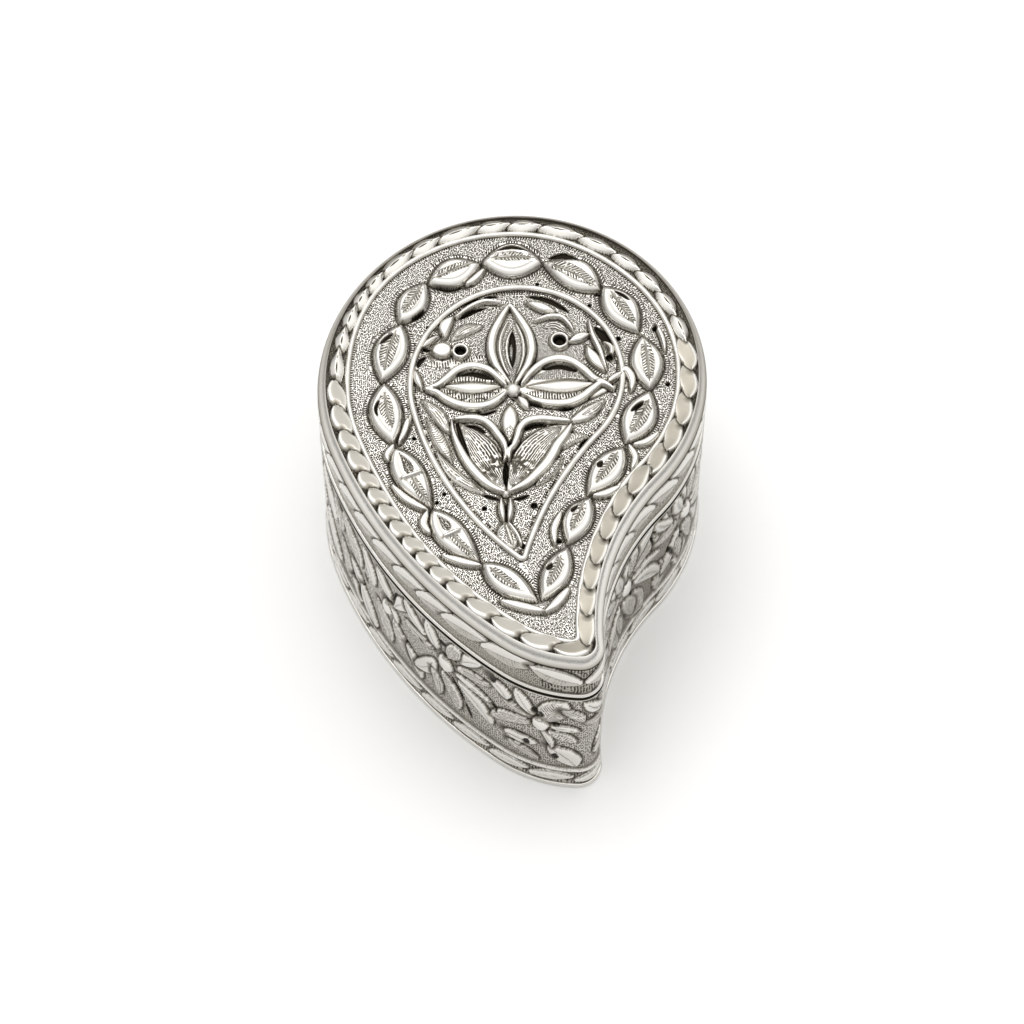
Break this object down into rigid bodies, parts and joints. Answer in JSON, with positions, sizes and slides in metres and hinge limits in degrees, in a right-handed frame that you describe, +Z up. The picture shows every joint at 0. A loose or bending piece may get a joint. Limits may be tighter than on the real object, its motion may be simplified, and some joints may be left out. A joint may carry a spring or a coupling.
{
  "type": "lidded silver box",
  "caption": "Small drop-shaped lidded box of chased silver sheet with a lift-off lid, a rounded rim moulding and raised leaf work",
  "frame": {"origin": "middle of the plan, on the surface the box stands on", "axes": "+Z up, +Y from the small tip towards the round head, +X to the right as the tip faces the viewer"},
  "size_m": [0.0608, 0.0808, 0.043],
  "materials": {
    "chased_silver": "repousse and chased silver, polished on the high places, dark with tarnish in the recesses",
    "polished_silver": "polished silver wire and moulding with soft wear",
    "plain_silver": "plain satin silver inside and underneath"
  },
  "bodies": {
    "box": {"foot_wire": "polished_silver", "bottom_plate": "plain_silver", "body_wall": "chased_silver", "mouth_wire": "polished_silver", "inner_collar": "plain_silver"},
    "lid": {"lid_edge_wire": "polished_silver", "lid_skirt": "chased_silver", "rim_moulding": "polished_silver", "lid_top": "chased_silver"}
  },
  "joints": [
    {"name": "lid_lift", "type": "slide", "parent": "box", "child": "lid", "axis": [0, 0, 1], "range_m": [0, 0.03]}
  ]
}
